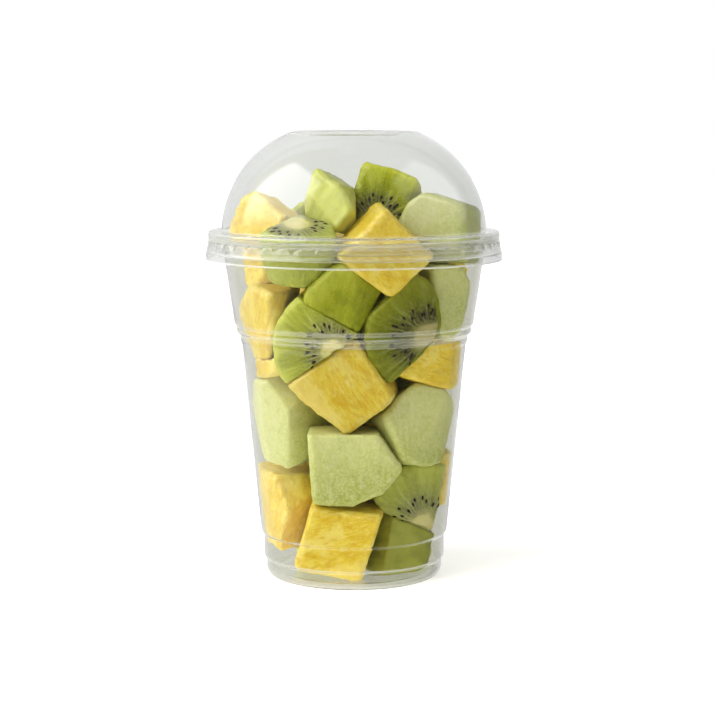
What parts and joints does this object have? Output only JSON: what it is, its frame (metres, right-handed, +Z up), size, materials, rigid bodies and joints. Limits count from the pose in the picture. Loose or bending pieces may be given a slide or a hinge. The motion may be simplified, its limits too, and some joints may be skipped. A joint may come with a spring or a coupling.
{
  "type": "fruit cup",
  "caption": "Clear plastic cup with a domed lid, filled with cut pieces of pineapple, kiwi and honeydew melon.",
  "frame": {"origin": "centre of the cup's foot, on the surface it stands on", "axes": "+Z up along the cup's axis, -Y towards the side shown in front, +X to its right"},
  "size_m": [0.1, 0.1, 0.1505],
  "materials": {
    "cup_plastic": "clear, glossy",
    "lid_plastic": "clear, glossy",
    "pineapple": "wet cut fruit, fibrous",
    "kiwi": "wet cut fruit, smooth",
    "melon": "wet cut fruit, smooth"
  },
  "bodies": {
    "root": {"cup": "cup_plastic", "lid": "lid_plastic", "pineapple_1": "pineapple", "pineapple_2": "pineapple", "melon_1": "melon", "pineapple_3": "pineapple", "kiwi_3": "kiwi", "kiwi_2": "kiwi", "kiwi_1": "kiwi", "kiwi_4": "kiwi", "melon_2": "melon", "kiwi_5": "kiwi", "melon_3": "melon", "pineapple_4": "pineapple", "kiwi_6": "kiwi", "pineapple_5": "pineapple", "melon_4": "melon", "pineapple_6": "pineapple", "pineapple_7": "pineapple", "pineapple_8": "pineapple", "melon_5": "melon", "kiwi_7": "kiwi", "kiwi_8": "kiwi", "pineapple_9": "pineapple", "pineapple_10": "pineapple", "pineapple_11": "pineapple", "melon_6": "melon", "kiwi_9": "kiwi", "melon_7": "melon", "pineapple_12": "pineapple", "melon_8": "melon", "kiwi_10": "kiwi", "pineapple_13": "pineapple", "kiwi_11": "kiwi", "pineapple_14": "pineapple", "melon_9": "melon", "kiwi_12": "kiwi", "pineapple_15": "pineapple", "melon_10": "melon", "kiwi_13": "kiwi", "pineapple_16": "pineapple", "melon_11": "melon", "kiwi_14": "kiwi", "pineapple_17": "pineapple", "melon_12": "melon", "kiwi_15": "kiwi", "pineapple_18": "pineapple"}
  },
  "joints": []
}
